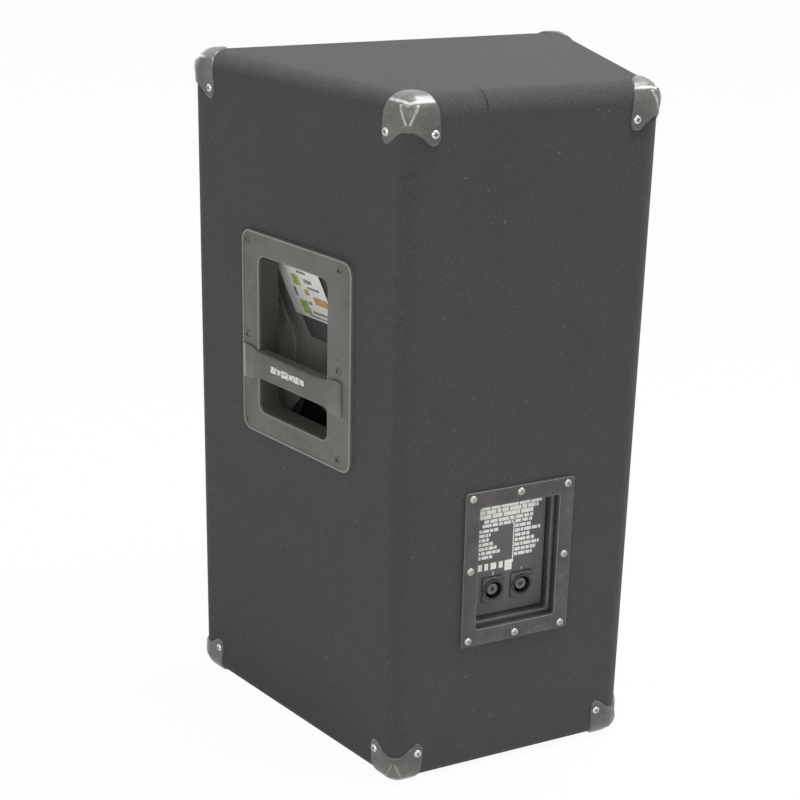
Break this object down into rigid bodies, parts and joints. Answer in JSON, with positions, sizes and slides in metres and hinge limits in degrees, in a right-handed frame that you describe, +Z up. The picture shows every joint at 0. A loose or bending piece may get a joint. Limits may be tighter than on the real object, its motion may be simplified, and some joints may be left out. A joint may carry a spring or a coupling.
{
  "type": "pa speaker cabinet",
  "caption": "Felt-covered trapezoid PA loudspeaker cabinet with side carrying handles, corner protectors, a rear connection recess, and a woofer and horn behind a steel grille.",
  "frame": {"origin": "on the floor, under the middle of the box", "axes": "+Z up, -Y out of the front grille, +Y out of the rear, +X out of the right side as seen from the front"},
  "size_m": [0.4692, 0.3588, 0.7544],
  "materials": {
    "felt": "grey-black needle felt",
    "plywood": "raw plywood",
    "corner_plastic": "black, satin",
    "bright_screw": "zinc plated",
    "black_screw": "black oxide",
    "grille_steel": "black powder coat",
    "grille_foam": "open foam, black",
    "rubber": "matt",
    "basket_paint": "black, satin",
    "cone_paper": "pulp, black",
    "surround_cloth": "treated cloth",
    "spider_cloth": "resin-treated cloth",
    "coil_copper": "enamelled wire",
    "plated_steel": "zinc plated",
    "ferrite": "matt, dark",
    "horn_plastic": "moulded, black",
    "titanium": "formed foil",
    "suspension_film": "clear amber film",
    "cap_plastic": "moulded, black",
    "plate_paint": "dark grey powder coat",
    "socket_plastic": "black",
    "contact_metal": "tinned",
    "handle_plastic": "dark grey, fine texture",
    "socket_steel": "black powder coat",
    "circuit_board": "resin board",
    "component_body": "coils, films and a resistor",
    "wadding_fibre": "loose polyester fibre",
    "card": "printed card",
    "wire_sheath": "grey PVC"
  },
  "bodies": {
    "cabinet": {"bottom_panel": "plywood", "corner_front_bottom_left": "corner_plastic", "corner_front_bottom_right": "corner_plastic", "corner_front_top_left": "corner_plastic", "corner_front_top_right": "corner_plastic", "corner_rear_bottom_left": "corner_plastic", "corner_rear_bottom_right": "corner_plastic", "corner_rear_top_left": "corner_plastic", "corner_rear_top_right": "corner_plastic", "corner_screws": "bright_screw", "crossover_board": "circuit_board", "crossover_components": "component_body", "crossover_fixings": "bright_screw", "driver_bolts": "black_screw", "driver_front_plate": "plated_steel", "driver_magnet": "ferrite", "driver_rear_cap": "cap_plastic", "driver_suspension": "suspension_film", "driver_top_plate": "plated_steel", "felt_covering": "felt", "front_baffle": "plywood", "glue_blocks": "plywood", "grille": "grille_steel", "grille_foam": "grille_foam", "grille_screws": "bright_screw", "grille_spacers": "rubber", "handle_frame_left": "handle_plastic", "handle_frame_right": "handle_plastic", "handle_grip_left": "handle_plastic", "handle_grip_right": "handle_plastic", "horn_flare": "horn_plastic", "horn_screws": "black_screw", "inner_wires": "wire_sheath", "inspection_card": "card", "panel_screws": "bright_screw", "pole_socket": "socket_steel", "pole_socket_screws": "bright_screw", "rear_panel": "plywood", "side_panel_left": "plywood", "side_panel_right": "plywood", "socket_1": "socket_plastic", "socket_2": "socket_plastic", "socket_contacts": "contact_metal", "socket_screws": "bright_screw", "terminal_plate": "plate_paint", "top_panel": "plywood", "wadding": "wadding_fibre", "woofer_back_plate": "plated_steel", "woofer_basket": "basket_paint", "woofer_gasket": "rubber", "woofer_magnet": "ferrite", "woofer_screws": "black_screw", "woofer_spider": "spider_cloth", "woofer_surround": "surround_cloth", "woofer_terminals": "cap_plastic", "woofer_top_plate": "plated_steel"},
    "cone": {"woofer_cone": "cone_paper", "woofer_dust_cap": "cone_paper", "woofer_voice_coil": "coil_copper"},
    "diaphragm": {"driver_diaphragm": "titanium"}
  },
  "joints": [
    {"name": "cone_travel", "type": "slide", "parent": "cabinet", "child": "cone", "axis": [0, 1, 0], "range_m": [-0.005, 0.005], "stiffness_N_per_m": 4000, "deforming": ["woofer_surround", "woofer_spider"]},
    {"name": "diaphragm_travel", "type": "slide", "parent": "cabinet", "child": "diaphragm", "axis": [0, 1, 0], "range_m": [-0.0004, 0.0004], "stiffness_N_per_m": 2000, "deforming": ["driver_suspension"]}
  ]
}
